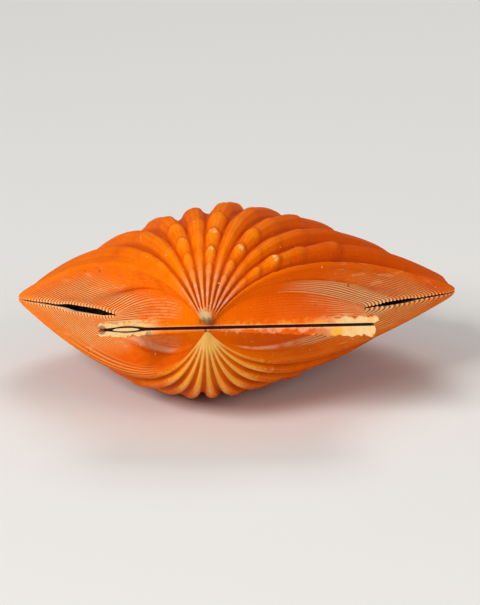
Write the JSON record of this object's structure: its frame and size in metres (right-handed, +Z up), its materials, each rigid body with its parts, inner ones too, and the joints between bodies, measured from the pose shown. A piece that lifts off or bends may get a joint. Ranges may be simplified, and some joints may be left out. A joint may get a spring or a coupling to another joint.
{
  "type": "scallop shell",
  "caption": "Closed lion paw scallop shell: ribbed, knobbly orange valves with winged ears, joined along a straight hinge by a dark ligament.",
  "frame": {"origin": "on the surface that the shell lies on, under the middle of its bounding box", "axes": "+Z up; +X along the hinge line towards the longer ear, the right one when the hinge faces the viewer; +Y from the hinge towards the far, scalloped margin"},
  "size_m": [0.1192, 0.114, 0.052],
  "materials": {
    "upper_shell": "satin",
    "lower_shell": "satin",
    "ligament": "matte"
  },
  "bodies": {
    "root": {"upper_valve": "upper_shell", "lower_valve": "lower_shell", "hinge_ligament": "ligament"}
  },
  "joints": []
}
